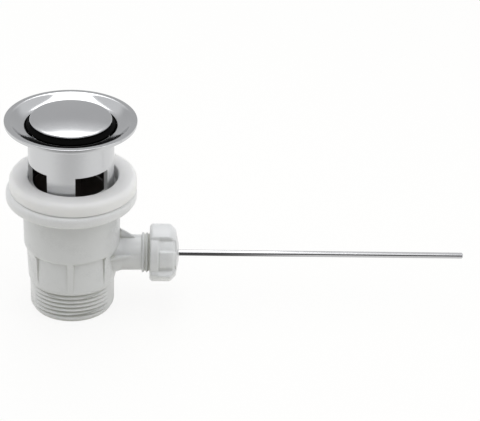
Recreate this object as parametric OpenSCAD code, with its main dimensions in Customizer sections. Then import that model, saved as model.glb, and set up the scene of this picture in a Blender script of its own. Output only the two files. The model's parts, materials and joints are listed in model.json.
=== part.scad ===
// Pop up basin waste: slotted flange tube, lever lifted plug and moulded waste body.
// Lengths are in mm. The drain axis is Z, the outlet ends at z = 0 and the lever rod leaves along +X.

/* [Outlet] */
// Diameter over the outlet thread, G 1 1/4
outlet_d = 41.8; // [40.4:0.1:42.2]
// Pitch of the outlet thread
outlet_pitch = 2.309; // [1.8:0.001:2.8]
// Depth of the outlet thread
outlet_thread_depth = 1.3; // [0.8:0.1:1.5]
// Length of the outlet spigot
outlet_len = 17; // [12:0.5:22]
// Length of the lead in cone at the outlet end
outlet_lead = 2; // [0.8:0.1:2.4]
// Angle that the thread covers at the front, and again at the back
outlet_thread_angle = 112; // [90:1:130]
// Diameter of the waterway
waterway_d = 35.4; // [31:0.2:36]

/* [Body] */
// Diameter at the top of the ribbed collar
collar_d = 44.5; // [43.6:0.1:45.4]
// Narrowing of the collar's radius towards the outlet
collar_draft = 0.6; // [0:0.1:0.6]
// Height of the ribbed collar
collar_len = 15; // [11:0.5:18]
// Height of the shoulder between the collar and the cup
shoulder_len = 4; // [2:0.5:6]
// Diameter of the cup
cup_d = 47.6; // [47:0.1:52]
// Height of the cup up to its flange
cup_len = 22; // [18:0.5:30]
// Narrowing of the cup's radius towards the shoulder
cup_draft = 0.3; // [0:0.1:0.6]
// Extra diameter of the body flange over the upper flange
body_flange_extra = 0.4; // [-4:0.1:6]
// Thickness of the body flange
body_flange_t = 7.8; // [6:0.2:10]
// Rounding of the body flange's upper edge
body_flange_round = 3.4; // [1:0.1:4]
// Depth of the moulded panels below the collar, at the ledge that ends them
panel_depth = 1.1; // [0.4:0.1:1.4]
// Height of that ledge above the collar, in the shoulder
panel_rise = 2.8; // [0.4:0.1:3.6]
// Width of the front and back ribs
rib_w = 3.2; // [2:0.1:6]
// Angle from a rib's middle to the plain land on the side
panel_angle = 48; // [35:1:60]
// Height of the ring that closes the panels at their foot
panel_foot = 0.8; // [0.5:0.1:3]

/* [Lever neck] */
// Height of the neck's axis above the outlet end
neck_h = 28.3; // [25:0.1:32]
// Diameter of the neck
neck_d = 17.7; // [16.4:0.1:18]
// Diameter over the neck's thread
neck_thread_d = 20; // [19:0.1:22]
// Pitch of the neck's thread
neck_pitch = 1.8; // [1.25:0.01:2]
// Depth of the neck's thread
neck_thread_depth = 0.8; // [0.4:0.05:1]
// Length of the neck's thread
neck_thread_len = 10.7; // [9:0.1:12]
// Length of the neck past the ball's centre
neck_past_ball = 6; // [5:0.1:8]
// Diameter of the chamber that holds the ball seats
chamber_d = 13.8; // [13:0.1:15]
// Diameter of the passage from the chamber to the waterway
passage_d = 11.2; // [10.4:0.1:12]
// Thickness of the gussets
gusset_t = 1.4; // [1:0.1:3]
// Length of the gussets beyond the cup's wall
gusset_len = 7.4; // [4:0.1:9]
// Rise of the top gusset above the neck at the cup's wall
gusset_rise = 4.6; // [2:0.1:8]
// Height of the upper side gussets above the neck's axis
gusset_up = 2.8; // [2:0.1:6]
// Depth of the lower side gussets below the neck's axis
gusset_down = 4.7; // [2:0.1:6]
// Spread of the upper side gussets at the cup's wall
gusset_spread = 3.4; // [1:0.1:5]
// Spread of the lower side gussets at the cup's wall
gusset_low_spread = 0.9; // [0.5:0.1:5]
// Flare of the neck where it leaves the cup
neck_flare = 1.2; // [0.4:0.1:2]

/* [Ball joint and rod] */
// Distance of the ball's centre from the drain axis
ball_x = 39; // [38:0.1:44]
// Diameter of the ball
ball_d = 11; // [10:0.1:11.6]
// Diameter of the rod
rod_d = 3; // [2.5:0.1:4]
// Distance of the rod's free end from the drain axis
rod_reach = 196; // [120:1:260]
// Length of the rod past the drain axis
rod_tip = 5; // [3:0.5:8]
// Chamfer at the rod's ends
rod_chamfer = 0.5; // [0.2:0.1:0.8]
// Width of the flat that each seat leaves open around the ball's middle
seat_open = 1.6; // [1:0.1:3]
// Running clearance between ball and seats
ball_clear = 0.15; // [0.1:0.05:0.3]
// Radial clearance between the seats and their chamber
seat_clear = 0.1; // [0.05:0.05:0.3]

/* [Union nut] */
// Diameter over the nut's grips
nut_d = 28.8; // [27:0.1:34]
// Depth of the hollows between the grips
nut_hollow = 1.5; // [0.6:0.1:1.8]
// Number of grips
nut_grips = 6; // [4:1:10]
// Share of each grip's spacing that the grip takes, in degrees of a six grip nut
nut_grip_angle = 32; // [20:1:40]
// Turn of the grips
nut_turn = 15; // [0:1:59]
// Length of the plain collar behind the grips
nut_collar = 4.4; // [3:0.1:6]
// Length of nut over the neck's thread
nut_grip_len = 6.6; // [5:0.1:8]
// Thickness of the nut's end wall
nut_end_t = 6.6; // [4:0.1:8]
// Radial clearance between the nut and the neck's thread
nut_clear = 0.15; // [0.1:0.05:0.4]

/* [Gasket] */
// Diameter of the basin gasket
gasket_d = 61.6; // [56:0.2:68]
// Thickness of the basin gasket
gasket_t = 6.6; // [4:0.2:9]
// Rounding of the gasket's upper edge
gasket_round = 2.6; // [0.8:0.1:2.8]
// Radial play of the gasket around the tube
gasket_play = 1.1; // [0.4:0.1:1.6]

/* [Flange and tube] */
// Diameter of the flange
flange_d = 63; // [58:0.5:75]
// Thickness of the flange at its rim
rim_t = 1.6; // [1.2:0.1:2.4]
// Width of the lip around the dish
lip_w = 2.2; // [1.6:0.1:4]
// Fall of the lip from the rim to the dish
lip_fall = 0.2; // [0:0.05:0.4]
// Height of the flange's rim above the gasket
rim_h = 29.6; // [26:0.1:40]
// Drop of the dished flange from its rim to the throat
dish_drop = 3.4; // [2:0.1:5]
// Depth of the dish's hollow below a straight cone
dish_hollow = 0.45; // [0.2:0.05:0.6]
// Diameter of the throat, where the dish turns down
throat_d = 44; // [43:0.1:47]
// Height of the conical seat below the throat
seat_drop = 4.5; // [3.5:0.1:6]
// Depth of the flange's root below the seat
flange_root = 2.2; // [1.6:0.1:3]
// Diameter of the tube
tube_d = 41.2; // [40.4:0.1:42.4]
// Wall of the tube
tube_wall = 2.1; // [1.2:0.1:2.6]
// Length of tube inside the body
tube_grip = 20; // [14:0.5:24]
// Radial clearance of the tube in the body
tube_clear = 0.15; // [0.1:0.05:0.4]
// Number of overflow windows
window_count = 4; // [2:1:6]
// Share of the tube's round that each of four windows takes, in degrees
window_angle = 51; // [20:1:54]
// Drop of the windows' upper edge below the rim
window_drop = 21; // [16:0.1:24]
// Height of the windows
window_h = 11.5; // [6:0.1:13]
// Turn of the windows about the drain axis
window_turn = 33; // [0:1:89]

/* [Plug] */
// Diameter of the plug's cap
plug_d = 39.2; // [37.6:0.1:40.2]
// Height of the cap's edge
plug_edge = 1.5; // [1:0.1:3]
// Rise of the cap's crown
plug_crown = 1.6; // [0.4:0.1:3]
// Diameter of the plug's seal
seal_d = 42.4; // [41:0.1:43]
// Thickness of the seal
seal_t = 4.2; // [3:0.1:4.4]
// Inward slope of the seal's edge
seal_slope = 1.8; // [1:0.1:2.2]
// Diameter of the washer under the seal
washer_d = 32; // [24:0.5:34]
// Thickness of the washer under the seal
washer_t = 1.5; // [1:0.1:3]
// Diameter of the cap's stud
stud_d = 6; // [4:0.1:6.4]
// Length of the cap's stud below the washer
stud_len = 9; // [6:0.5:14]
// Diameter of the stem
stem_d = 9.6; // [9:0.1:12]
// Length of the stem
stem_len = 50; // [47:0.5:54]
// Thickness of the stem's guide fins
fin_t = 1.8; // [1.2:0.1:3]
// Number of guide fins
fin_count = 4; // [3:1:6]
// Height of the fins' guiding edge
fin_edge = 17; // [10:0.5:20]
// Height of the slope above the guiding edge
fin_slope = 12; // [8:0.5:14]
// Radial clearance of the fins in the tube
fin_clear = 0.3; // [0.2:0.05:0.6]
// Diameter of the height screw
screw_d = 5; // [4:0.1:6]
// Length of the height screw inside the stem
screw_grip = 12; // [8:0.5:18]
// Diameter of the height screw's rounded head
screw_head_d = 8; // [7:0.1:9]
// Height of the head's straight edge
screw_head_h = 2; // [1.5:0.1:3]
// Width of the lock nut across its flats
lock_nut_af = 8; // [7:0.1:9]
// Height of the lock nut
lock_nut_h = 3.6; // [3:0.1:5]
// Gap between the screw's head and the rod
screw_gap = 0.3; // [0.25:0.05:0.5]
// Clearance left between the seal and its seat when the plug is shut
shut_clear = 0.2; // [0.15:0.05:0.4]
// Height of the plug above shut, as drawn
plug_raise = 1.4; // [0:0.1:2]

/* [Hidden] */
$fn = 96;
eps = 0.01;
arc_steps = 6;
dish_steps = 10;
outlet_r = outlet_d / 2;
waterway_r = waterway_d / 2;
collar_r = collar_d / 2;
cup_r = cup_d / 2;
body_flange_r = (flange_d + body_flange_extra) / 2;
neck_r = neck_d / 2;
neck_thread_r = neck_thread_d / 2;
chamber_r = chamber_d / 2;
passage_r = passage_d / 2;
ball_r = ball_d / 2;
rod_r = rod_d / 2;
nut_r = nut_d / 2;
gasket_r = gasket_d / 2;
flange_r = flange_d / 2;
throat_r = throat_d / 2;
tube_r = tube_d / 2;
tube_in_r = tube_r - tube_wall;
plug_r = plug_d / 2;
seal_r = seal_d / 2;
washer_r = washer_d / 2;
stud_r = stud_d / 2;
stem_r = stem_d / 2;
screw_r = screw_d / 2;
screw_head_r = screw_head_d / 2;

// heights of the body
collar_z = outlet_len + collar_len;
cup_z = collar_z + shoulder_len;
body_flange_z = cup_z + cup_len;
body_top_z = body_flange_z + body_flange_t;
tube_end_z = body_top_z - tube_grip;
tube_bore_r = tube_r + tube_clear;
// the tube stops this far above the step in the body
tube_rest = 2;
step_z = tube_end_z - tube_rest;
step_len = tube_bore_r - waterway_r;

// the outlet thread: its lead in and run out, with a crest at the middle of the wall between them
lead_drop = outlet_lead / 2;
thread_runout = 1;
thread_top_z = outlet_len - thread_runout;
thread_mid_z = (outlet_lead + thread_top_z) / 2;
thread_half = (thread_top_z - outlet_lead) / 2;
groove_half_count = floor(thread_half / outlet_pitch);
// a flat is left at each crest and root
crest_flat = 0.18 * outlet_pitch;
root_flat = 0.15 * outlet_pitch;
// each groove is turned about its own axis, moved to the far side, so that it runs out at both ends
groove_shift = outlet_thread_depth / (1 - cos(outlet_thread_angle / 2));
groove_root_r = outlet_r - outlet_thread_depth + groove_shift;
neck_crest_flat = 0.2 * neck_pitch;
neck_root_flat = 0.2 * neck_pitch;

// positions along the neck
neck_end_x = ball_x + neck_past_ball;
neck_thread_x = neck_end_x - neck_thread_len;
neck_groove_count = floor(neck_thread_len / neck_pitch);
neck_chamfer = neck_thread_depth;
seat_proud = 1.2;
seat_wall = 2.2;
chamber_x = ball_x - ball_r;
nut_x = neck_end_x - nut_grip_len;
nut_wall_x = neck_end_x + seat_proud;
nut_end_x = nut_wall_x + nut_end_t;
nut_round = 2;
nut_dome = 1.4;
nut_taper = 3;
nut_core_r = nut_r - nut_hollow;
gusset_x = cup_r + gusset_len;
// the side gussets start this deep in the cup's wall
gusset_root = 3.4;
panel_round = 0.6;

// lever motion and the room it needs at a distance from the ball
plug_open = 6;
tilt_max = plug_open / ball_x * 180 / PI;
sweep_play = 0.7;
function sweep_r(along) = rod_r + abs(along) * tan(tilt_max) + sweep_play;

// heights of the gasket and the flange
gasket_z = body_top_z;
gasket_top_z = gasket_z + gasket_t;
gasket_shift = gasket_play - 0.2;
rim_z = gasket_top_z + rim_h;
throat_z = rim_z - dish_drop;
seat_end_z = throat_z - seat_drop;
rim_round = 0.45 * rim_t;
lip_r = flange_r - lip_w;
lip_z = rim_z - lip_fall;
lip_round = 2;
window_z = rim_z - window_drop - window_h;
window_span = window_angle * 4 / window_count;

// heights of the plug: shut, the seal's lower edge lies on the conical seat
seal_low_r = seal_r - seal_slope;
seat_slope = seat_drop / (throat_r - tube_in_r);
seat_touch_z = throat_z - (throat_r - seal_low_r) * seat_slope;
under_z = throat_z - (throat_r - tube_r) * seat_slope - flange_root;
seal_z = seat_touch_z + shut_clear + plug_raise;
cap_z = seal_z + seal_t;
cap_round = 0.6;
washer_z = seal_z - washer_t;
stem_z = washer_z - stem_len;
stud_z = washer_z - stud_len;
fin_r = tube_in_r - fin_clear;
fin_z = stem_z + 3;
fin_turn = window_turn + 180 / window_count;
screw_tip_z = neck_h + rod_r + screw_gap;
screw_top_z = stem_z + screw_grip;
lock_nut_z = stem_z - lock_nut_h;
screw_dome_r = 0.75 * screw_head_d;
screw_dome_h = screw_dome_r - sqrt(pow(screw_dome_r, 2) - pow(screw_head_r, 2));

// a closed outline from [x, y, rounding] corners
function unit(v) = v / norm(v);
function flat(p) = [p.x, p.y];
function bend(a, b, c, r) =
    let (u = unit(a - b), v = unit(c - b), half = acos(u * v) / 2)
    let (m = b + unit(u + v) * r / sin(half), p = b + u * r / tan(half), q = b + v * r / tan(half))
    let (s = atan2(p.y - m.y, p.x - m.x), e = atan2(q.y - m.y, q.x - m.x))
    let (turn = (e - s + 540) % 360 - 180)
    [for (i = [0 : arc_steps]) m + r * [cos(s + turn * i / arc_steps), sin(s + turn * i / arc_steps)]];
function outline(pts) =
    let (n = len(pts))
    [for (i = [0 : n - 1])
        let (a = flat(pts[(i + n - 1) % n]), b = flat(pts[i]), c = flat(pts[(i + 1) % n]))
        each pts[i][2] > 0 ? bend(a, b, c, pts[i][2]) : [b]];

// corners along a shallow hollow between two points, which hangs below their line
function hollow(p, q, depth) =
    let (line = unit(q - p), down = line.x > 0 ? [line.y, -line.x] : [-line.y, line.x])
    [for (i = [1 : dish_steps - 1])
        let (t = i / dish_steps, c = p + (q - p) * t + down * 4 * depth * t * (1 - t))
        [c.x, c.y, 0]];

module turned(pts) {
    rotate_extrude()
        polygon(outline(pts));
}

module along_neck() {
    translate([0, 0, neck_h])
        rotate([0, 90, 0])
            children();
}

module sector(radius, angle, height) {
    rotate([0, 0, -angle / 2])
        rotate_extrude(angle = angle)
            square([radius, height]);
}

// moulded body: outlet, ribbed collar, cup and flange
module body_shell() {
    turned([
        [0, 0, 0],
        [outlet_r - lead_drop, 0, 0],
        [outlet_r, outlet_lead, 0],
        [outlet_r, thread_top_z, 0],
        [collar_r - collar_draft, outlet_len, 0],
        [collar_r, collar_z, 1.2],
        [cup_r - cup_draft, cup_z, 1.6],
        [cup_r, body_flange_z, 1.5],
        [body_flange_r, body_flange_z, 1.6],
        [body_flange_r, body_top_z, body_flange_round],
        [0, body_top_z, 0]
    ]);
}

// interrupted outlet thread, grooves at the front and at the back
module outlet_grooves() {
    half = (outlet_pitch - crest_flat) / 2;
    flank = (half - root_flat / 2) / outlet_thread_depth;
    for (back = [-1, 1], i = [-groove_half_count : groove_half_count - 1])
        translate([0, -back * groove_shift, thread_mid_z + (i + 0.5) * outlet_pitch])
            rotate_extrude()
                polygon([
                    [groove_root_r, -root_flat / 2],
                    [groove_root_r + outlet_thread_depth + 1, -half - flank],
                    [groove_root_r + outlet_thread_depth + 1, half + flank],
                    [groove_root_r, root_flat / 2]
                ]);
}

// four shallow panels that leave a rib at the front and the back and a land on each side
module collar_panels() {
    foot_z = outlet_len + panel_foot;
    ledge_z = collar_z + panel_rise;
    rib_half = asin(rib_w / 2 / collar_r);
    for (side = [90, 270], m = [0, 1])
        rotate([0, 0, side])
            mirror([0, m, 0])
                rotate([0, 0, rib_half])
                    rotate_extrude(angle = panel_angle - rib_half)
                        polygon(outline([
                            [collar_r - collar_draft, foot_z, 0],
                            [cup_r + 1, foot_z, 0],
                            [cup_r + 1, ledge_z, 0],
                            [collar_r - panel_depth, ledge_z, panel_round]
                        ]));
}

module neck_solid() {
    along_neck()
        turned([
            [0, 0, 0],
            [neck_r + neck_flare, 0, 0],
            [neck_r + neck_flare, cup_r - 3, 0],
            [neck_r, cup_r + 1, 2],
            [neck_r, neck_thread_x, 0],
            [neck_thread_r, neck_thread_x + neck_thread_depth / 2, 0],
            [neck_thread_r, neck_end_x - neck_chamfer, 0],
            [neck_thread_r - neck_chamfer, neck_end_x, 0],
            [0, neck_end_x, 0]
        ]);
}

module neck_grooves() {
    half = (neck_pitch - neck_crest_flat) / 2;
    along_neck()
        for (i = [1 : neck_groove_count - 1])
            translate([0, 0, neck_thread_x + i * neck_pitch])
                rotate_extrude()
                    polygon([
                        [neck_thread_r - neck_thread_depth, -neck_root_flat / 2],
                        [neck_thread_r + eps, -half],
                        [neck_thread_r + 1, -half],
                        [neck_thread_r + 1, half],
                        [neck_thread_r + eps, half],
                        [neck_thread_r - neck_thread_depth, neck_root_flat / 2]
                    ]);
}

module top_gusset() {
    translate([0, gusset_t / 2, neck_h])
        rotate([90, 0, 0])
            linear_extrude(gusset_t)
                polygon([
                    [cup_r - 2.5, neck_r - 2],
                    [gusset_x, neck_r - 2],
                    [gusset_x, neck_r],
                    [cup_r, neck_r + gusset_rise],
                    [cup_r - 2.5, neck_r + gusset_rise]
                ]);
}

module side_gusset(off, spread) {
    reach_y = sqrt(pow(neck_r, 2) - pow(off, 2));
    linear_extrude(gusset_t, center = true)
        polygon([
            [waterway_r, reach_y - 2],
            [gusset_x - 1, reach_y - 2],
            [gusset_x - 1, reach_y],
            [cup_r - gusset_root, reach_y + spread],
            [waterway_r, reach_y + spread]
        ]);
}

module gussets() {
    top_gusset();
    for (m = [0, 1])
        mirror([0, m, 0]) {
            translate([0, 0, neck_h + gusset_up])
                side_gusset(gusset_up, gusset_spread);
            translate([0, 0, neck_h - gusset_down])
                side_gusset(gusset_down, gusset_low_spread);
        }
}

module waterway() {
    turned([
        [0, -1, 0],
        [waterway_r, -1, 0],
        [waterway_r, step_z - step_len, 0],
        [tube_bore_r, step_z, 0],
        [tube_bore_r, body_top_z + 1, 0],
        [0, body_top_z + 1, 0]
    ]);
}

module neck_hollow() {
    along_neck() {
        cylinder(r = passage_r, h = chamber_x);
        translate([0, 0, chamber_x])
            cylinder(r = chamber_r, h = neck_end_x - chamber_x + 1);
    }
}

module waste_body() {
    color([0.9, 0.91, 0.92])
        difference() {
            union() {
                difference() {
                    body_shell();
                    outlet_grooves();
                    collar_panels();
                }
                neck_solid();
                gussets();
            }
            neck_grooves();
            neck_hollow();
            waterway();
        }
}

// thick white gasket that lies on the body flange, pushed against one side of the tube
module basin_gasket() {
    hole_r = tube_r + gasket_play;
    color([0.93, 0.93, 0.9])
        translate([gasket_shift, 0, gasket_z])
            turned([
                [hole_r, 0, 0.4],
                [gasket_r, 0, 0.8],
                [gasket_r, gasket_t, gasket_round],
                [hole_r, gasket_t, 0.8]
            ]);
}

// dished flange, conical seat and slotted tube in one plated piece
module flange_tube() {
    color([0.75, 0.76, 0.78])
        difference() {
            turned([
                [tube_in_r, tube_end_z, 0],
                [tube_r - 0.5, tube_end_z, 0],
                [tube_r, tube_end_z + 0.5, 0],
                [tube_r, under_z, 1],
                [flange_r, rim_z - rim_t, rim_round],
                [flange_r, rim_z, rim_round],
                [lip_r, lip_z, lip_round],
                each hollow([lip_r, lip_z], [throat_r, throat_z], dish_hollow),
                [throat_r, throat_z, 1.5],
                [tube_in_r, seat_end_z, 1]
            ]);
            for (i = [0 : window_count - 1])
                rotate([0, 0, window_turn + i * 360 / window_count])
                    translate([0, 0, window_z])
                        sector(tube_r + 1, window_span, window_h);
        }
}

// seats that hold the ball in the neck
module seat_ring(from_x, to_x, mouth_r) {
    difference() {
        along_neck()
            translate([0, 0, from_x])
                difference() {
                    cylinder(r = chamber_r - seat_clear, h = to_x - from_x);
                    translate([0, 0, -1])
                        cylinder(r = mouth_r, h = to_x - from_x + 2);
                }
        translate([ball_x, 0, neck_h])
            sphere(r = ball_r + ball_clear);
    }
}

module ball_seat_inner() {
    color([0.95, 0.95, 0.93])
        seat_ring(chamber_x, ball_x - seat_open / 2, sweep_r(ball_r));
}

module ball_seat_outer() {
    color([0.95, 0.95, 0.93])
        seat_ring(ball_x + seat_open / 2, nut_wall_x, sweep_r(nut_wall_x - ball_x));
}

// union nut with six grips, a plain collar and a domed end
module nut_grip() {
    spacing = 360 / nut_grips;
    half = nut_grip_angle / 2 * 6 / nut_grips;
    translate([0, 0, nut_x + nut_collar - 0.5])
        linear_extrude(nut_end_x - nut_x)
            polygon([
                [nut_core_r - 2, 0],
                [(nut_core_r - 2) * cos(half), -(nut_core_r - 2) * sin(half)],
                [(nut_r + 2) * cos(half - 1.5), -(nut_r + 2) * sin(half - 1.5)],
                [nut_r + 3, 0],
                [(nut_r + 2) * cos(half - 1.5), (nut_r + 2) * sin(half - 1.5)],
                [(nut_core_r - 2) * cos(half), (nut_core_r - 2) * sin(half)]
            ]);
}

module nut_envelope(radius) {
    turned([
        [0, nut_x, 0],
        [radius, nut_x, min(nut_round, radius - neck_thread_r - nut_clear - 0.2)],
        [radius, nut_end_x - nut_dome - nut_taper, 1],
        [radius - nut_taper, nut_end_x - nut_dome, 1.5],
        [sweep_r(nut_end_x - ball_x), nut_end_x, 0],
        [0, nut_end_x, 0]
    ]);
}

module union_nut() {
    color([0.91, 0.92, 0.92])
        difference() {
            along_neck()
                intersection() {
                    nut_envelope(nut_r);
                    union() {
                        nut_envelope(nut_core_r);
                        translate([0, 0, nut_x])
                            cylinder(r = nut_r + 1, h = nut_collar);
                        for (i = [0 : nut_grips - 1])
                            rotate([0, 0, nut_turn + i * 360 / nut_grips])
                                nut_grip();
                    }
                }
            along_neck() {
                translate([0, 0, nut_x - 1])
                    cylinder(r = neck_thread_r + nut_clear, h = nut_wall_x - nut_x + 1);
                translate([0, 0, nut_wall_x - eps])
                    cylinder(r1 = sweep_r(nut_wall_x - ball_x), r2 = sweep_r(nut_end_x - ball_x),
                        h = nut_end_t + 2 * eps);
            }
        }
}

// lever rod and the ball fixed on it
module pivot_ball() {
    color([0.92, 0.92, 0.9])
        difference() {
            translate([ball_x, 0, neck_h])
                sphere(r = ball_r);
            along_neck()
                cylinder(r = rod_r, h = ball_x + ball_r + 1);
        }
}

module pivot_rod() {
    color([0.7, 0.71, 0.72])
        along_neck()
            turned([
                [0, -rod_tip, 0],
                [rod_r - rod_chamfer, -rod_tip, 0],
                [rod_r, rod_chamfer - rod_tip, 0],
                [rod_r, rod_reach - rod_chamfer, 0],
                [rod_r - rod_chamfer, rod_reach, 0],
                [0, rod_reach, 0]
            ]);
}

// plug: domed cap with its stud, seal, washer, finned stem, screw and lock nut
module plug_cap() {
    dome_r = (pow(plug_r, 2) + pow(plug_crown, 2)) / (2 * plug_crown);
    color([0.76, 0.77, 0.79])
        union() {
            translate([0, 0, cap_z])
                intersection() {
                    turned([
                        [0, 0, 0],
                        [plug_r, 0, 0.3],
                        [plug_r, plug_edge + 0.2, cap_round],
                        [0, plug_edge + plug_crown + 1, 0]
                    ]);
                    translate([0, 0, plug_edge + plug_crown - dome_r])
                        sphere(r = dome_r, $fn = 200);
                }
            translate([0, 0, stud_z])
                cylinder(r = stud_r, h = cap_z - stud_z + eps);
        }
}

module plug_seal() {
    color([0.06, 0.06, 0.06])
        turned([
            [stud_r, seal_z, 0],
            [seal_low_r, seal_z, 0.3],
            [seal_r, seal_z + seal_t * 0.6, 0.3],
            [plug_r, cap_z, 0],
            [stud_r, cap_z, 0]
        ]);
}

module seal_washer() {
    color([0.1, 0.1, 0.1])
        turned([
            [stud_r, washer_z, 0],
            [washer_r - 1, washer_z, 0],
            [washer_r, washer_z + washer_t / 2, 0],
            [washer_r, seal_z, 0],
            [stud_r, seal_z, 0]
        ]);
}

module stem_fin() {
    translate([0, fin_t / 2, 0])
        rotate([90, 0, 0])
            linear_extrude(fin_t)
                polygon([
                    [0, fin_z],
                    [fin_r - 3, fin_z],
                    [fin_r, fin_z + 3],
                    [fin_r, fin_z + 3 + fin_edge],
                    [stem_r - 1, fin_z + 3 + fin_edge + fin_slope],
                    [0, fin_z + 3 + fin_edge + fin_slope]
                ]);
}

module plug_stem() {
    color([0.12, 0.12, 0.12])
        difference() {
            union() {
                translate([0, 0, stem_z])
                    cylinder(r = stem_r, h = stem_len);
                intersection() {
                    union() {
                        for (i = [0 : fin_count - 1])
                            rotate([0, 0, fin_turn + i * 360 / fin_count])
                                stem_fin();
                    }
                    translate([0, 0, stem_z])
                        cylinder(r = fin_r, h = stem_len);
                }
            }
            translate([0, 0, stud_z])
                cylinder(r = stud_r, h = stud_len + 1);
            translate([0, 0, stem_z - 1])
                cylinder(r = screw_r, h = screw_grip + 1);
        }
}

module height_screw() {
    color([0.72, 0.62, 0.38])
        union() {
            translate([0, 0, screw_tip_z])
                intersection() {
                    cylinder(r = screw_head_r, h = screw_dome_h + screw_head_h);
                    translate([0, 0, screw_dome_r])
                        sphere(r = screw_dome_r);
                }
            translate([0, 0, screw_tip_z + 1])
                cylinder(r = screw_r, h = screw_top_z - screw_tip_z - 1);
        }
}

module lock_nut() {
    color([0.74, 0.64, 0.4])
        translate([0, 0, lock_nut_z])
            difference() {
                cylinder(d = lock_nut_af / cos(30), h = lock_nut_h, $fn = 6);
                translate([0, 0, -1])
                    cylinder(r = screw_r, h = lock_nut_h + 2);
            }
}

waste_body();
basin_gasket();
flange_tube();
ball_seat_inner();
ball_seat_outer();
union_nut();
pivot_ball();
pivot_rod();
plug_cap();
plug_seal();
seal_washer();
plug_stem();
height_screw();
lock_nut();
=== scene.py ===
"""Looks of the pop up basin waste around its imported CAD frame."""
import json
import math

import bmesh
import bpy
from mathutils import Matrix, Vector


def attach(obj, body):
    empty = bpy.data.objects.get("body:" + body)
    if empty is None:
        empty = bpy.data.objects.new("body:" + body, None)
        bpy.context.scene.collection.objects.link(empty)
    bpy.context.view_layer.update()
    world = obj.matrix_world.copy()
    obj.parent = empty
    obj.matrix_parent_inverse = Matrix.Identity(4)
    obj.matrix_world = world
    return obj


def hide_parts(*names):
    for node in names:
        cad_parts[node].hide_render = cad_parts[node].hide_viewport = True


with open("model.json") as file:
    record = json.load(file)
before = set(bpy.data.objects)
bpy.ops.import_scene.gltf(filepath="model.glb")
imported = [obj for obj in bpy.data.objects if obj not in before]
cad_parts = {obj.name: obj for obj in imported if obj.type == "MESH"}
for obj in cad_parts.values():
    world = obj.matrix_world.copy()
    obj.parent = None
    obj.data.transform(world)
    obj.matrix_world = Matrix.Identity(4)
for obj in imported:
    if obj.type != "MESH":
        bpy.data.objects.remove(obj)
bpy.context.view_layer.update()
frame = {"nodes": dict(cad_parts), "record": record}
NODES = frame["nodes"]
MM = 0.001
WHITE = (1, 1, 1, 1)

# ---------------------------------------------------------------- sizes of the pieces, in mm and degrees
# gasket, shifted along X as it lies in the photograph
GASKET_Z, GASKET_T, GASKET_R, GASKET_HOLE_R, GASKET_SHIFT = 65.8, 6.6, 30.8, 21.7, 0.9
GASKET_TOP_ROUND, GASKET_FOOT_ROUND, GASKET_HOLE_ROUND, GASKET_MOUTH_ROUND = 2.6, 0.8, 0.4, 0.8

# body: its flange's underside rises outward from the cup
CUP_R, BODY_FLANGE_Z, BODY_FLANGE_T = 24.0, 58.0, 7.8
FLANGE_LIFT, FLANGE_LIFT_R = 1.8, 31.5
LEDGE_Z, LEDGE_FADE, LEDGE_SOFT = 34.0, 1.0, 1.1

# flange with its dish, plug seat and slotted tube
RIM_Z, RIM_T, RIM_ROUND, FLANGE_R = 102.0, 1.6, 0.28, 31.5
LIP_R, STEEP_R = 29.8, 28.0
THROAT_Z, THROAT_R, THROAT_SLOPE = 99.1, 22.0, 0.08
SEAT_Z, SEAT_R, SEAT_END_Z, SEAT_ROUND = 98.4, 21.7, 94.1, 1.0
UNDER_Z, UNDER_ROUND = 94.6, 1.0
TUBE_R, TUBE_IN_R, TUBE_END_Z, TUBE_CHAMFER = 20.6, 18.5, 45.8, 0.5
WINDOW_LOW_Z, WINDOW_HIGH_Z = 69.5, 81.0
WINDOW_TURN, WINDOW_SPAN, WINDOW_COUNT = 33.0, 51.0, 4
WINDOW_CELLS, POST_CELLS, DISH_STEPS = 26, 20, 36

# plug
STUD_R, STUD_Z = 3.0, 86.357
SEAL_Z, SEAL_T, SEAL_R, SEAL_LOW_R = 96.857, 4.2, 21.2, 19.4
SEAL_WIDEST, SEAL_ROUND = 0.6, 0.3
CAP_Z, CAP_R, CAP_EDGE, CAP_CROWN = SEAL_Z + SEAL_T, 19.6, 1.5, 1.6
CAP_UNDERCUT, CAP_TOP_ROUND, CAP_FOOT_ROUND = 0.45, 0.5, 0.2
CAP_RINGS = (0, 3, 6, 9, 12, 14.5, 17, 18.2)

# lever rod
ROD_Z, ROD_R, ROD_FROM, ROD_TO, ROD_CHAMFER = 28.3, 1.5, -5.0, 196.0, 0.5

# union nut along the rod: bore, outside, collar behind the grips and hollows between them
NUT_X, NUT_END_X, NUT_WALL_X = 38.4, 52.8, 46.2
NUT_BORE_R, NUT_MOUTH_R, NUT_EXIT_R = 10.15, 3.317, 4.34
NUT_R, NUT_FACE, NUT_FOOT_ROUND = 14.4, 2.0, 1.9
NUT_SHOULDER, NUT_SHOULDER_ROUND = 4.2, 2.2
NUT_TAPER, NUT_DOME, NUT_DOME_ROUND = 2.9, 1.4, 2.0
NUT_HOLLOW, NUT_HOLLOW_LEAST = 2.1, 1.1
NUT_COLLAR, NUT_RING_R, NUT_RING_LEAST, NUT_RING_DROP, NUT_RING_ROLL = 4.6, 13.4, 0.2, 0.5, 1.4
NUT_RING_WALL = (-0.2, 0.3)
NUT_END_BLEND = (1.9, 0.9)
NUT_STEPS, NUT_RING_STEP, NUT_BLUR = 720, 0.25, 0.8

# grips of the nut: first and last degree up from its front, degrees of each flank, height as a share of the
# hollows' depth, and whether it runs over the collar; the front faces 60 degrees off the top
NUT_FRONT = 60.0
NUT_GRIPS = ((32, 120, 3, 1.0, True), (-150, -49, 5, 1.5, True),
             (-33, 2, 3, 0.5, False), (147, 182, 3, 0.5, False))
# degrees over which a grip higher than 1 falls off from its edge, and the rounding of the grips' far corners
GRIP_BROW, GRIP_CORNER, GRIP_CORNER_X = 14.0, 1.5, 2.6

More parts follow.
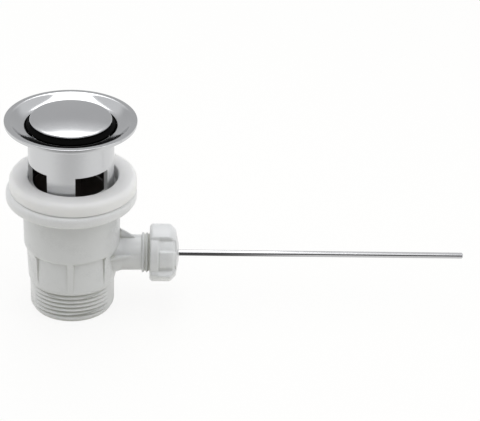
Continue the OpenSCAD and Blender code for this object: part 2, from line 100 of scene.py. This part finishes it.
# facets around turned pieces, the angles from which edges are sharp, and small distances in m and in mm
SEGMENTS, FINE_SEGMENTS, ROD_SEGMENTS, ARC_TURN = 160, 192, 40, 8.0
SHARP, BODY_SHARP, NUT_SHARP = 35.0, 32.0, 50.0
WELD_M, SLIVER_M, SAME_MM = 2e-6, 1e-6, 1e-6

# ---------------------------------------------------------------- looks
BLOTCH, BLOTCH_ROUGH, GRAIN_ROUGH, NOISE_DETAIL = 60.0, 0.5, 0.6, 3.0
NOISE_LOW, NOISE_HIGH = 0.3, 0.7
BLOTCH_SHARE, GRAIN_SHARE, LEAST_ROUGH = 0.6, 0.4, 0.02
EDGE_SAMPLES, RUBBED_FROM, RUBBED_TO = 6, 0.99, 0.80
SOFT_MM, SOFT_TINT = 3.0, (1.0, 1.0, 0.95)
# painted shade in hollows: ambient occlusion distance and samples, and the occlusion levels at which the
# painted shade is full and gone
CREASE_MM, CREASE_SAMPLES, CREASE_DARK, CREASE_CLEAR = 2.5, 8, 0.35, 0.85
# painted light on the body's flange, which keeps it clear of painted crease shade: heights in mm above its
# lower face over which it fades in, and its share of white
FLANGE_CLEAR_FROM, FLANGE_CLEAR_TO, FLANGE_PAINTED_LIGHT = 0.5, 2.5, 0.3
# painted dark reflection on the rod's lower side: normal heights over which it fades in, the share of its end
# x where it starts to fade, and what is left of it there
DARK_REFLECTION_FROM, DARK_REFLECTION_TO, DARK_REFLECTION_NEAR, DARK_REFLECTION_FAR = 0.42, 0.20, 0.55, 0.2
# painted shade in the plug's throat: normal heights over which it fades in, its fades at foot, top and edge
# in mm, its colour and added roughness
THROAT_SHADE_FACING_FROM, THROAT_SHADE_FACING_TO, THROAT_SHADE_FOOT, THROAT_SHADE_TOP, THROAT_SHADE_EDGE = 0.05, 0.25, 0.5, 0.3, 0.4
THROAT_SHADE_COLOR, THROAT_SHADE_ROUGH = (0.012, 0.012, 0.012), 0.5
CUT_EDGE, CUT_FADE, CUT_COLOR, CUT_ROUGH, CUT_METAL = 0.15, 1.0, (0.86, 0.86, 0.86), 0.3, -0.5
SATIN_FADE = 1.0

FINISHES = {
    # the white plastic's hollows get painted shade
    "white_plastic": dict(color=(0.715, 0.725, 0.73), rough=0.30, vary=0.012, grain_mm=0.0015,
                          crease_shade=(0.81, 0.805, 0.74)),
    "white_gasket": dict(color=(0.94, 0.94, 0.93), rough=0.55, vary=0.015, grain=1800.0, grain_mm=0.006,
                         edge_mm=0.4, soft=0.5),
    # the chrome's throat gets painted shade
    "chrome": dict(color=(0.60, 0.605, 0.615), rough=0.12, metal=1.0, vary=0.01, rough_vary=0.02,
                   grain=900.0, grain_mm=0.0004, edge_mm=0.12, edge_gain=0.03, satin=(UNDER_Z, 0.12),
                   throat_shade=(22.4, 93.6, 99.3), cut=(TUBE_IN_R + 0.05, TUBE_R - 0.05, 85.6)),
    "seat_plastic": dict(color=(0.80, 0.80, 0.78), rough=0.42, vary=0.02),
    # the rod's lower side carries a painted dark reflection near the nut
    "rod_steel": dict(color=(0.62, 0.62, 0.63), rough=0.16, metal=1.0, vary=0.02, rough_vary=0.05,
                      grain=4000.0, grain_mm=0.001, stretch=(0.02, 1, 1), dark_reflection=((0.07, 0.07, 0.07), 125.0)),
    "black_rubber": dict(color=(0.002, 0.002, 0.002), rough=0.6, vary=0.1, grain=2200.0, grain_mm=0.006,
                         edge_gain=0.002, specular=0.03),
    "black_plastic": dict(color=(0.085, 0.073, 0.064), rough=0.45, vary=0.1, edge_gain=0.02),
    "brass": dict(color=(0.72, 0.52, 0.24), rough=0.26, metal=1.0, vary=0.04, stretch=(1, 1, 0.1)),
}

# ---------------------------------------------------------------- camera and light, in m and degrees
CAMERA_PLACE, CAMERA_LENS, CAMERA_SENSOR = (0.0299, -0.6727, 0.4483), 119.245, 36.0
CAMERA_YAW, CAMERA_PITCH, CAMERA_ROLL = 4.46, 30.36, 2.99
CAMERA_CLIP = (0.01, 50)

# levels of the surroundings in front, behind, at the sides and overhead, and the directions between which
# they blend
WORLD_COLOR = (0.985, 0.99, 1.0, 1.0)
WORLD_FRONT, WORLD_BACK, WORLD_SIDE, WORLD_TOP = 0.06, 0.57, 0.70, 0.85
WORLD_Y, WORLD_X, WORLD_Z = (-0.3, 0.5), (0.55, 0.95), (0.50, 0.66)

FLOOR_HALF, FLOOR_Z, FLOOR_SEEN = 6.0, -0.0002, 0.86
# the floor darkens in front of the object: painted shade, in its colour and in the white that the camera and
# reflections see, over the given y in m
FLOOR_PAINTED_SHADE, FLOOR_LIGHT = (0.1, 0.1, 0.1, 1), (0.88, 0.87, 0.82, 1)
FLOOR_FADE_Y, FLOOR_FADE = (-0.26, -0.11), (0.35, 1.0)

# place, the point that the lamp faces, its two sides and its power in W
OBJECT_MIDDLE = (0, 0, 0.06)
LAMPS = {
    "softbox_top": ((-0.025, 0.25, 0.8), (-0.025, 0.25, 0), (0.42, 1.04), 2.4),
    "softbox_left": ((-0.75, -0.25, 0.70), OBJECT_MIDDLE, (0.6, 0.6), 0.5),
    "softbox_right": ((0.75, -0.25, 0.70), OBJECT_MIDDLE, (0.6, 0.6), 1.3),
    "softbox_front": ((0.10, -0.40, 0.80), OBJECT_MIDDLE, (0.5, 0.4), 0.5),
}


# ---------------------------------------------------------------- node helpers
class Graph:
    """Short calls to build a node tree."""

    def __init__(self, tree):
        self.tree = tree
        tree.nodes.clear()

    def add(self, kind, inputs=None, **props):
        node = self.tree.nodes.new(kind)
        for key, value in props.items():
            setattr(node, key, value)
        for key, value in (inputs or {}).items():
            self.feed(node.inputs[key], value)
        return node

    def feed(self, socket, value):
        if isinstance(value, bpy.types.NodeSocket):
            self.tree.links.new(value, socket)
        else:
            socket.default_value = value

    def output(self, kind, shader):
        self.feed(self.add(kind).inputs["Surface"], shader.outputs[0])

    def math(self, op, a, b=0.0, c=0.0):
        node = self.add("ShaderNodeMath", operation=op)
        for i, value in enumerate((a, b, c)):
            self.feed(node.inputs[i], value)
        return node.outputs[0]

    def times(self, a, b):
        return self.math("MULTIPLY", a, b)

    def split(self, vector):
        return self.add("ShaderNodeSeparateXYZ", {0: vector}).outputs

    def ramp(self, value, low, high, to_low=0.0, to_high=1.0):
        """Smooth step of a value from low to high; low may be the larger one."""
        node = self.add("ShaderNodeMapRange", interpolation_type="SMOOTHSTEP")
        names = ("Value", "From Min", "From Max", "To Min", "To Max")
        for name, item in zip(names, (value, low, high, to_low, to_high)):
            self.feed(node.inputs[name], item)
        return node.outputs["Result"]

    def blend(self, fac, a, b, blend_type="MIX"):
        node = self.add("ShaderNodeMix", {0: fac, 6: a, 7: b}, data_type="RGBA", blend_type=blend_type)
        return node.outputs[2]

    def noise(self, coord, scale, rough):
        inputs = {"Vector": coord, "Scale": scale, "Detail": NOISE_DETAIL, "Roughness": rough}
        return self.add("ShaderNodeTexNoise", inputs).outputs["Fac"]


def rgba(c, k=1.0):
    return (c[0] * k, c[1] * k, c[2] * k, 1.0)


# ---------------------------------------------------------------- materials
def paint_crease_shade_and_flange_light(g, base, height, crease_shade):
    """Paints shade into the hollows where an ambient occlusion mask finds them. The body's flange gets none;
    instead it gets painted light that makes it a little whiter than the rest.
    """
    near = g.add("ShaderNodeAmbientOcclusion", {"Distance": CREASE_MM * MM}, samples=CREASE_SAMPLES)
    crease_shaded = g.blend(1.0, base, rgba(crease_shade), "MULTIPLY")
    clear = g.ramp(near.outputs["AO"], CREASE_DARK, CREASE_CLEAR)
    # the body's flange gets painted light instead of painted crease shade
    flange = g.ramp(height, (BODY_FLANGE_Z + FLANGE_CLEAR_FROM) * MM, (BODY_FLANGE_Z + FLANGE_CLEAR_TO) * MM)
    base = g.blend(g.math("MAXIMUM", clear, flange), crease_shaded, base)
    return g.blend(g.times(flange, FLANGE_PAINTED_LIGHT), base, WHITE)


def paint_throat_shade(g, reach, height, facing_up, throat_shade):
    """Share of the painted shade in the throat: inside a radius, between two heights, facing up."""
    radius, low, high = throat_shade
    zone = g.times(g.ramp(height, low * MM, (low + THROAT_SHADE_FOOT) * MM),
                   g.ramp(height, high * MM, (high + THROAT_SHADE_TOP) * MM, 1.0, 0.0))
    inside = g.ramp(reach, (radius - THROAT_SHADE_EDGE) * MM, radius * MM, 1.0, 0.0)
    return g.times(g.times(zone, inside), g.ramp(facing_up, THROAT_SHADE_FACING_FROM, THROAT_SHADE_FACING_TO))


def cut_faces(g, reach, height, cut):
    """Share of the cut faces of a wall: between its two radii, below a height."""
    inner, outer, top = cut
    wall = g.times(g.ramp(reach, inner * MM, (inner + CUT_EDGE) * MM),
                   g.ramp(reach, (outer - CUT_EDGE) * MM, outer * MM, 1.0, 0.0))
    return g.times(wall, g.ramp(height, top * MM, (top - CUT_FADE) * MM))


def finish_material(name, color, rough, metal=0.0, vary=0.03, rough_vary=0.06, grain=2500.0, grain_mm=0.004,
                    edge_mm=0.25, edge_gain=0.06, specular=0.5, stretch=(1, 1, 1), soft=0.0,
                    crease_shade=None, dark_reflection=None, satin=None, throat_shade=None, cut=None):
    """A surface with blotches in its colour and gloss, a fine grain, rounded and slightly rubbed edges.

    soft is the share of light that passes a little way into it.
    crease is the tint of the painted shade in its hollows.
    under is the colour of a painted dark reflection on the side that faces down, and the x in mm where it
    ends.
    satin is the height in mm below which the surface is less polished, and by how much.
    marked is the radius and the lowest and highest z in mm of a zone of painted shade, which is also rougher.
    cut is the two radii in mm between which a wall's cut faces are dull, and the z in mm that they end at.
    """
    mat = bpy.data.materials.new(name)
    mat.use_nodes = True
    g = Graph(mat.node_tree)
    coord = g.add("ShaderNodeTexCoord").outputs["Object"]
    stretched = g.add("ShaderNodeMapping", {"Vector": coord, "Scale": stretch}).outputs["Vector"]
    blotches, fine = g.noise(coord, BLOTCH, BLOTCH_ROUGH), g.noise(stretched, grain, GRAIN_ROUGH)
    east, north, height = g.split(coord)
    reach = g.math("SQRT", g.math("ADD", g.math("POWER", east, 2.0), g.math("POWER", north, 2.0)))
    normal = g.add("ShaderNodeNewGeometry").outputs["Normal"]
    facing_up = g.split(normal)["Z"]

    # edges: the body's are softer above the ledge
    round_mm = edge_mm * MM
    if crease_shade:
        round_mm = g.ramp(height, (LEDGE_Z - LEDGE_FADE) * MM, LEDGE_Z * MM, edge_mm * MM, LEDGE_SOFT * MM)
    edge = g.add("ShaderNodeBevel", {"Radius": round_mm}, samples=EDGE_SAMPLES).outputs["Normal"]
    same = g.add("ShaderNodeVectorMath", {0: edge, 1: normal}, operation="DOT_PRODUCT").outputs["Value"]
    rubbed = g.ramp(same, RUBBED_FROM, RUBBED_TO)

    base = g.blend(g.ramp(blotches, NOISE_LOW, NOISE_HIGH), rgba(color, 1 - vary), rgba(color, 1 + vary))
    base = g.blend(g.times(rubbed, edge_gain), base, WHITE)
    uneven = g.math("ADD", g.times(blotches, BLOTCH_SHARE), g.times(fine, GRAIN_SHARE))
    gloss = g.ramp(uneven, NOISE_LOW, NOISE_HIGH, max(rough - rough_vary, LEAST_ROUGH), rough + rough_vary)

    # painted shade in the hollows, and painted light on the body's flange
    if crease_shade:
        base = paint_crease_shade_and_flange_light(g, base, height, crease_shade)
    # painted dark reflection on the side that faces down, fading along x
    if dark_reflection:
        tint, end = dark_reflection
        down = g.ramp(facing_up, DARK_REFLECTION_FROM, DARK_REFLECTION_TO)
        near = g.ramp(east, end * MM * DARK_REFLECTION_NEAR, end * MM, 1.0, DARK_REFLECTION_FAR)
        base = g.blend(g.times(down, near), base, rgba(tint))
    if satin:
        top, more = satin
        gloss = g.math("ADD", gloss, g.ramp(height, (top - SATIN_FADE) * MM, top * MM, more, 0.0))
    # painted shade in the throat, with a rougher finish
    if throat_shade:
        dull = paint_throat_shade(g, reach, height, facing_up, throat_shade)
        base = g.blend(dull, base, rgba(THROAT_SHADE_COLOR))
        gloss = g.math("MULTIPLY_ADD", dull, THROAT_SHADE_ROUGH, gloss)
    if cut:
        wall = cut_faces(g, reach, height, cut)
        base = g.blend(wall, base, rgba(CUT_COLOR))
        gloss = g.math("MULTIPLY_ADD", wall, CUT_ROUGH, gloss)
        metal = g.math("MULTIPLY_ADD", wall, CUT_METAL, metal)

    grained = {"Strength": 1.0, "Distance": grain_mm * MM, "Height": fine, "Normal": edge}
    bump = g.add("ShaderNodeBump", grained).outputs["Normal"]
    g.output("ShaderNodeOutputMaterial", g.add("ShaderNodeBsdfPrincipled", {
        "Base Color": base, "Metallic": metal, "Roughness": gloss, "Specular IOR Level": specular,
        "Subsurface Weight": soft, "Subsurface Scale": SOFT_MM * MM, "Subsurface Radius": SOFT_TINT,
        "Normal": bump}))
    return mat


MATERIALS = {name: finish_material(name, **look) for name, look in FINISHES.items()}


# ---------------------------------------------------------------- mesh helpers
def clamp(value):
    return min(max(value, 0.0), 1.0)


def step(value, low, high):
    t = clamp((value - low) / (high - low))
    return t * t * (3 - 2 * t)


def corner(a, b, c, r):
    """Points of the arc of radius r that rounds the corner b between a and c."""
    u, v = (a - b).normalized(), (c - b).normalized()
    half = u.angle(v) / 2
    mid = b + (u + v).normalized() * (r / math.sin(half))
    p, q = b + u * (r / math.tan(half)), b + v * (r / math.tan(half))
    start, end = math.atan2(p.y - mid.y, p.x - mid.x), math.atan2(q.y - mid.y, q.x - mid.x)
    turn = (end - start + 3 * math.pi) % (2 * math.pi) - math.pi
    count = max(2, math.ceil(abs(math.degrees(turn)) / ARC_TURN))
    angles = [start + turn * i / count for i in range(count + 1)]
    return [mid + r * Vector((math.cos(angle), math.sin(angle))) for angle in angles]


def rounded(points, closed=True):
    """(r, z, rounding) corners to a polyline of 2-D points with its corners rounded."""
    flat = [Vector(p[:2]) for p in points]
    out, n = [], len(points)
    for i, p in enumerate(points):
        inside = closed or 0 < i < n - 1
        if inside and p[2] > 0:
            out += corner(flat[i - 1], flat[i], flat[(i + 1) % n], p[2])
        else:
            out.append(flat[i])
    return out


def finer(points, spacing):
    """The polyline with points about every spacing along it."""
    out = []
    for a, b in zip(points, points[1:]):
        count = max(1, round((b - a).length / spacing))
        out += [a.lerp(b, i / count) for i in range(count)]
    return out + [points[-1]]


def settle(name, bm, sharp=SHARP):
    """The bmesh as an object, smooth apart from its sharp edges."""
    bmesh.ops.recalc_face_normals(bm, faces=bm.faces[:])
    for f in bm.faces:
        f.smooth = True
    for e in bm.edges:
        e.smooth = len(e.link_faces) == 2 and e.calc_face_angle() < math.radians(sharp)
    mesh = bpy.data.meshes.new(name)
    bm.to_mesh(mesh)
    bm.free()
    obj = bpy.data.objects.new(name, mesh)
    bpy.context.collection.objects.link(obj)
    return obj


def round_place(r, z, angle):
    return Vector((r * math.cos(angle), r * math.sin(angle), z)) * MM


def lathe(name, profile, segments=SEGMENTS, closed=True, place=round_place):
    """Turns a polyline of (r, z) points about Z; an open one starts and ends on the axis."""
    bm = bmesh.new()
    rings = []
    for p in profile:
        if p.x < SAME_MM:
            rings.append([bm.verts.new(place(0, p.y, 0))] * segments)
        else:
            rings.append([bm.verts.new(place(p.x, p.y, 2 * math.pi * i / segments)) for i in range(segments)])
    for k in range(len(rings) if closed else len(rings) - 1):
        a, b = rings[k], rings[(k + 1) % len(rings)]
        for i in range(segments):
            j = (i + 1) % segments
            corners = []
            for v in (a[i], a[j], b[j], b[i]):
                if v not in corners:
                    corners.append(v)
            if len(corners) > 2:
                bm.faces.new(corners)
    return settle(name, bm)


def stands_for(obj, node, body, slot):
    """The object takes the node's place, on its body and with the material of its slot."""
    obj.data.materials.clear()
    obj.data.materials.append(MATERIALS[slot])
    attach(obj, body)
    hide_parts(node)


# ---------------------------------------------------------------- body
def make_body():
    """The body's mesh with its faces joined, so that its shading runs on over the rounded corners.

    The underside of its flange rises a little to the edge.
    """
    bm = bmesh.new()
    bm.from_mesh(NODES["waste_body"].data)
    for v in bm.verts:
        out = (v.co.xy.length / MM - CUP_R) / (FLANGE_LIFT_R - CUP_R)
        up = (v.co.z / MM - BODY_FLANGE_Z) / BODY_FLANGE_T
        if out > 0 and -0.01 < up < 1:
            v.co.z += FLANGE_LIFT * MM * min(out, 1.0) * (1 - max(up, 0.0))
    bmesh.ops.remove_doubles(bm, verts=bm.verts[:], dist=WELD_M)
    bmesh.ops.dissolve_degenerate(bm, edges=bm.edges[:], dist=SLIVER_M)
    stands_for(settle("waste_body_moulded", bm, BODY_SHARP), "waste_body", "housing", "white_plastic")


# ---------------------------------------------------------------- flange and slotted tube
def dish(steps=DISH_STEPS):
    """Corners down from the flat lip to the throat; the slope grows outward, then rolls over into the lip."""
    width = LIP_R - THROAT_R
    steep = 2 * (RIM_Z - THROAT_Z - THROAT_SLOPE * (STEEP_R - THROAT_R) / 2) / width
    r, z, points = LIP_R, RIM_Z, []
    for _ in range(steps):
        points.append((r, z, 0))
        mid = r - width / steps / 2
        if mid > STEEP_R:
            slope = steep * (1 + math.cos(math.pi * (mid - STEEP_R) / (LIP_R - STEEP_R))) / 2
        else:
            slope = THROAT_SLOPE + (steep - THROAT_SLOPE) * (mid - THROAT_R) / (STEEP_R - THROAT_R)
        r, z = r - width / steps, z - slope * width / steps
    return points


def window_columns():
    """Angles around the tube, and for each whether a window starts there and runs to the next one."""
    pitch = 360.0 / WINDOW_COUNT
    columns = []
    for w in range(WINDOW_COUNT):
        start = WINDOW_TURN - WINDOW_SPAN / 2 + w * pitch
        columns += [(start + WINDOW_SPAN * i / WINDOW_CELLS, True) for i in range(WINDOW_CELLS)]
        post, post_span = start + WINDOW_SPAN, pitch - WINDOW_SPAN
        columns += [(post + post_span * i / POST_CELLS, False) for i in range(POST_CELLS)]
    return columns


def make_flange_tube():
    profile = rounded([
        (TUBE_IN_R, TUBE_END_Z, 0), (TUBE_R - TUBE_CHAMFER, TUBE_END_Z, 0),
        (TUBE_R, TUBE_END_Z + TUBE_CHAMFER, 0), (TUBE_R, WINDOW_LOW_Z, 0), (TUBE_R, WINDOW_HIGH_Z, 0),
        (TUBE_R, UNDER_Z, UNDER_ROUND), (FLANGE_R, RIM_Z - RIM_T, RIM_ROUND), (FLANGE_R, RIM_Z, RIM_ROUND),
        *dish(), (THROAT_R, THROAT_Z, 0), (SEAT_R, SEAT_Z, 0), (TUBE_IN_R, SEAT_END_Z, SEAT_ROUND),
        (TUBE_IN_R, WINDOW_HIGH_Z, 0), (TUBE_IN_R, WINDOW_LOW_Z, 0)])
    columns = window_columns()
    n = len(columns)
    bm = bmesh.new()
    rings = [[bm.verts.new(round_place(p.x, p.y, math.radians(a))) for a, _ in columns] for p in profile]

    def is_window(p, q):
        return {round(p.y, 3), round(q.y, 3)} == {WINDOW_LOW_Z, WINDOW_HIGH_Z} and abs(p.x - q.x) < SAME_MM

    edges = {}
    for k, p in enumerate(profile):
        for r in (TUBE_R, TUBE_IN_R):
            for z in (WINDOW_LOW_Z, WINDOW_HIGH_Z):
                if abs(p.x - r) < SAME_MM and abs(p.y - z) < SAME_MM:
                    edges[r, z] = rings[k]
        a, b = rings[k], rings[(k + 1) % len(rings)]
        cut = is_window(p, profile[(k + 1) % len(profile)])
        for i in range(n):
            if not (cut and columns[i][1]):
                j = (i + 1) % n
                bm.faces.new((a[i], a[j], b[j], b[i]))
    # the windows' edges through the wall
    around = [edges[TUBE_R, WINDOW_LOW_Z], edges[TUBE_IN_R, WINDOW_LOW_Z],
              edges[TUBE_IN_R, WINDOW_HIGH_Z], edges[TUBE_R, WINDOW_HIGH_Z]]
    for i in range(n):
        j = (i + 1) % n
        if columns[i][1]:
            for z in (WINDOW_LOW_Z, WINDOW_HIGH_Z):
                out, inn = edges[TUBE_R, z], edges[TUBE_IN_R, z]
                bm.faces.new((out[i], out[j], inn[j], inn[i]))
        if columns[i][1] != columns[i - 1][1]:
            bm.faces.new([ring[i] for ring in around])
    stands_for(settle("flange_tube_plated", bm), "flange_tube", "housing", "chrome")


# ---------------------------------------------------------------- plug, seal, gasket and rod
def make_plug():
    dome_r = (CAP_R ** 2 + CAP_CROWN ** 2) / (2 * CAP_CROWN)
    top = CAP_Z + CAP_EDGE + CAP_CROWN
    dome = [(r, top - dome_r + math.sqrt(dome_r ** 2 - r ** 2), 0) for r in CAP_RINGS]
    side = [(CAP_R, CAP_Z + CAP_EDGE, CAP_TOP_ROUND), (CAP_R - CAP_UNDERCUT, CAP_Z, CAP_FOOT_ROUND)]
    stud = [(STUD_R, CAP_Z, 0), (STUD_R, STUD_Z, 0), (0, STUD_Z, 0)]
    cap = lathe("plug_cap_plated", rounded(dome + side + stud, closed=False), FINE_SEGMENTS, closed=False)
    stands_for(cap, "plug_cap", "plug", "chrome")
    seal = rounded([(STUD_R, SEAL_Z, 0), (SEAL_LOW_R, SEAL_Z, SEAL_ROUND),
                    (SEAL_R, SEAL_Z + SEAL_T * SEAL_WIDEST, SEAL_ROUND),
                    (CAP_R, CAP_Z, 0), (STUD_R, CAP_Z, 0)])
    stands_for(lathe("plug_seal_rubber", seal), "plug_seal", "plug", "black_rubber")


def make_gasket():
    top = GASKET_Z + GASKET_T
    profile = rounded([(GASKET_HOLE_R, GASKET_Z, GASKET_HOLE_ROUND), (GASKET_R, GASKET_Z, GASKET_FOOT_ROUND),
                       (GASKET_R, top, GASKET_TOP_ROUND), (GASKET_HOLE_R, top, GASKET_MOUTH_ROUND)])

    def shifted(r, z, angle):
        return round_place(r, z, angle) + Vector((GASKET_SHIFT * MM, 0, 0))

    gasket = lathe("basin_gasket_soft", profile, FINE_SEGMENTS, place=shifted)
    stands_for(gasket, "basin_gasket", "housing", "white_gasket")


def make_rod():
    def along(r, x, angle):
        return Vector((x, r * math.cos(angle), ROD_Z + r * math.sin(angle))) * MM

    end_r = ROD_R - ROD_CHAMFER
    profile = rounded([(0, ROD_FROM, 0), (end_r, ROD_FROM, 0), (ROD_R, ROD_FROM + ROD_CHAMFER, 0),
                       (ROD_R, ROD_TO - ROD_CHAMFER, 0), (end_r, ROD_TO, 0), (0, ROD_TO, 0)], closed=False)
    rod = lathe("pivot_rod_drawn", profile, ROD_SEGMENTS, closed=False, place=along)
    stands_for(rod, "pivot_rod", "lever", "rod_steel")


# ---------------------------------------------------------------- union nut with soft moulded grips
def nut_radius(p, deg):
    """Outside of grips, collar and core, at a profile point p of (r, x) and an angle from the top."""
    collar_x = NUT_X + NUT_COLLAR
    end = step(p.y, NUT_END_X - NUT_END_BLEND[0], NUT_END_X - NUT_END_BLEND[1])
    low = min(NUT_R - NUT_HOLLOW, p.x - NUT_HOLLOW_LEAST * (1 - end))
    ring = NUT_RING_R - NUT_RING_DROP * step(p.y, collar_x - NUT_RING_ROLL, collar_x) ** 2
    ring = min(p.x - NUT_RING_LEAST, ring)
    behind = step(p.y, collar_x + NUT_RING_WALL[0], collar_x + NUT_RING_WALL[1])
    low += (max(ring, low) - low) * (1 - behind)

    turn = clamp((p.y - NUT_END_X + GRIP_CORNER_X) / GRIP_CORNER)
    cut = math.degrees(GRIP_CORNER * (1 - math.sqrt(1 - turn ** 2)) / NUT_R)
    part = 0.0
    for first, last, flank, tall, full in NUT_GRIPS:
        from_mid = abs((NUT_FRONT - deg - (first + last) / 2 + 180) % 360 - 180)
        off = from_mid - (last - first) / 2 + cut
        brow = max(tall - 1, 0.0) * math.exp(-(min(off, 0.0) / GRIP_BROW) ** 2)
        part = max(part, clamp(1 - off / flank) * (min(tall, 1.0) + brow) * (1.0 if full else behind))
    high = low + (p.x - low) * part
    return high + (p.x - high) * end


def make_nut():
    profile = finer(rounded([
        (NUT_R - NUT_FACE, NUT_X, 0), (NUT_R, NUT_X, NUT_FOOT_ROUND),
        (NUT_R, NUT_END_X - NUT_SHOULDER, NUT_SHOULDER_ROUND),
        (NUT_R - NUT_TAPER, NUT_END_X - NUT_DOME, NUT_DOME_ROUND), (NUT_EXIT_R, NUT_END_X, 0)],
        closed=False), NUT_RING_STEP)
    bore = [(NUT_MOUTH_R, NUT_WALL_X), (NUT_BORE_R, NUT_WALL_X), (NUT_BORE_R, NUT_X)]
    degrees = [360.0 * i / NUT_STEPS for i in range(NUT_STEPS)]
    bm = bmesh.new()

    def vert(r, x, deg):
        a = math.radians(deg)
        return bm.verts.new(Vector((x, -r * math.sin(a), ROD_Z + r * math.cos(a))) * MM)

    def soft_radius(p, deg):
        return sum(nut_radius(p, deg + off) for off in (-NUT_BLUR, 0, NUT_BLUR)) / 3

    rings = [[vert(soft_radius(p, d), p.y, d) for d in degrees] for p in profile]
    rings += [[vert(r, x, d) for d in degrees] for r, x in bore]
    for k, a in enumerate(rings):
        b = rings[(k + 1) % len(rings)]
        for i in range(NUT_STEPS):
            j = (i + 1) % NUT_STEPS
            bm.faces.new((a[i], a[j], b[j], b[i]))
    stands_for(settle("union_nut_moulded", bm, NUT_SHARP), "union_nut", "housing", "white_plastic")


# ---------------------------------------------------------------- camera, world, lamps and floor
def make_camera():
    yaw, pitch, roll = (math.radians(a) for a in (CAMERA_YAW, CAMERA_PITCH, CAMERA_ROLL))
    ahead = Vector((math.sin(yaw) * math.cos(pitch), math.cos(yaw) * math.cos(pitch), -math.sin(pitch)))
    right = Vector((math.cos(yaw), -math.sin(yaw), 0))
    up = right.cross(ahead)
    cam_x = right * math.cos(roll) + up * math.sin(roll)
    cam_y = up * math.cos(roll) - right * math.sin(roll)
    data = bpy.data.cameras.new("camera")
    data.sensor_width, data.lens = CAMERA_SENSOR, CAMERA_LENS
    data.clip_start, data.clip_end = CAMERA_CLIP
    cam = bpy.data.objects.new("camera", data)
    bpy.context.collection.objects.link(cam)
    rows = Matrix((cam_x, cam_y, -ahead)).transposed().to_4x4()
    cam.matrix_world = Matrix.Translation(CAMERA_PLACE) @ rows
    bpy.context.scene.camera = cam


def make_world():
    world = bpy.data.worlds.new("studio")
    bpy.context.scene.world = world
    world.use_nodes = True
    g = Graph(world.node_tree)
    x, y, z = g.split(g.add("ShaderNodeTexCoord").outputs["Generated"])
    level = g.ramp(y, *WORLD_Y, WORLD_FRONT, WORLD_BACK)
    aside, high = g.ramp(g.math("ABSOLUTE", x), *WORLD_X), g.ramp(z, *WORLD_Z)
    for share, target in ((aside, WORLD_SIDE), (high, WORLD_TOP)):
        level = g.math("MULTIPLY_ADD", share, g.math("SUBTRACT", target, level), level)
    shade = g.add("ShaderNodeBackground", {"Color": WORLD_COLOR, "Strength": level})
    g.output("ShaderNodeOutputWorld", shade)


def make_lamp(name, place, target, size, power):
    data = bpy.data.lights.new(name, "AREA")
    data.shape, data.size, data.size_y = "RECTANGLE", size[0], size[1]
    data.energy = power
    lamp = bpy.data.objects.new(name, data)
    bpy.context.collection.objects.link(lamp)
    lamp.location = place
    lamp.rotation_mode = "QUATERNION"
    lamp.rotation_quaternion = (Vector(target) - Vector(place)).to_track_quat("-Z", "Y")


def make_floor():
    """A floor that the camera and reflections see as white, with the shadow kept; in front of the object it
    is painted darker, as painted shade.
    """
    bm = bmesh.new()
    signs = ((-1, -1), (1, -1), (1, 1), (-1, 1))
    bm.faces.new([bm.verts.new((x * FLOOR_HALF, y * FLOOR_HALF, FLOOR_Z)) for x, y in signs])
    floor = settle("floor", bm)
    mat = bpy.data.materials.new("floor")
    mat.use_nodes = True
    g = Graph(mat.node_tree)
    path = g.add("ShaderNodeLightPath").outputs
    mirrored = g.math("MAXIMUM", path["Is Glossy Ray"], path["Is Transmission Ray"])
    seen = g.math("MAXIMUM", path["Is Camera Ray"], mirrored)
    place = g.split(g.add("ShaderNodeTexCoord").outputs["Object"])
    # painted shade on the floor in front of the object
    painted_front_shade = g.ramp(place["Y"], *FLOOR_FADE_Y, *FLOOR_FADE)
    lit = g.add("ShaderNodeBsdfDiffuse", {"Color": g.blend(painted_front_shade, FLOOR_PAINTED_SHADE, FLOOR_LIGHT)})
    glow = g.add("ShaderNodeEmission", {"Color": WHITE, "Strength": painted_front_shade})
    mix = {0: g.times(seen, FLOOR_SEEN), 1: lit.outputs[0], 2: glow.outputs[0]}
    g.output("ShaderNodeOutputMaterial", g.add("ShaderNodeMixShader", mix))
    floor.data.materials.append(mat)


make_camera()
make_world()
make_floor()
for lamp_name, lamp_facts in LAMPS.items():
    make_lamp(lamp_name, *lamp_facts)

make_flange_tube()
make_plug()
make_gasket()
make_rod()
make_nut()
make_body()
for s in frame["record"]["subparts"]:
    if s["node"] in NODES:
        data = NODES[s["node"]].data
        data.materials.clear()
        data.materials.append(MATERIALS[s["material_slot"]])

bpy.context.scene.view_settings.view_transform = "Standard"
